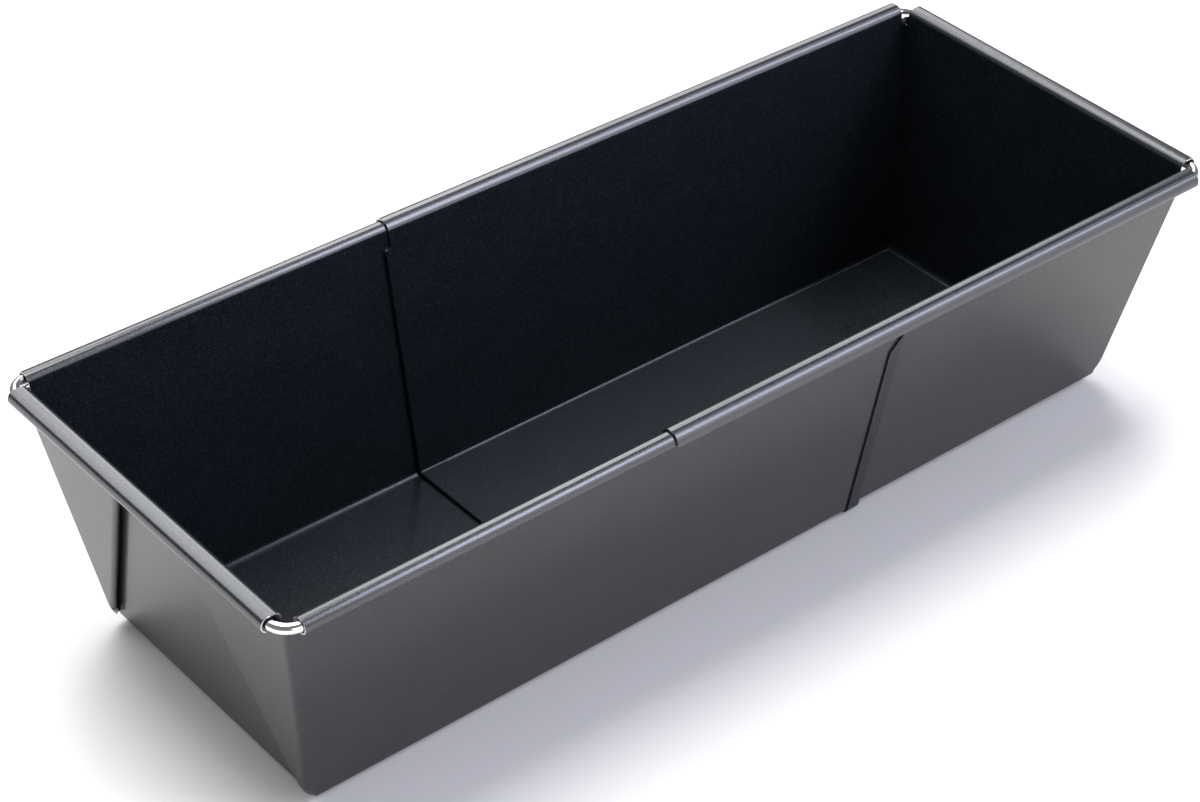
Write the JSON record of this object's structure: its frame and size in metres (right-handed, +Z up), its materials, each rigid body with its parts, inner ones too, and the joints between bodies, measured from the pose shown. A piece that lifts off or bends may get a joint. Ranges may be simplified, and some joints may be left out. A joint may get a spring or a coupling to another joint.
{
  "type": "extendable loaf tin",
  "caption": "Long open baking tin of two folded sheet-steel trays, one sliding inside the other to change its length, with flared walls and wired rolled rims.",
  "frame": {"origin": "on the table plane, under the middle of the tin's overall length and width as drawn", "axes": "+X along the slide, from the outer tray's closed end to the inner tray's; +Y across the tin; +Z up"},
  "size_m": [0.3102, 0.123, 0.0754],
  "materials": {
    "tray_coat": "satin",
    "rim_wire": "polished"
  },
  "bodies": {
    "outer_half": {"outer_tray": "tray_coat", "outer_rim_wire": "rim_wire"},
    "inner_half": {"inner_tray": "tray_coat", "inner_rim_wire": "rim_wire"}
  },
  "joints": [
    {"name": "extend_slide", "type": "slide", "parent": "outer_half", "child": "inner_half", "axis": [1, 0, 0], "range_m": [-0.09, 0.0595]}
  ]
}
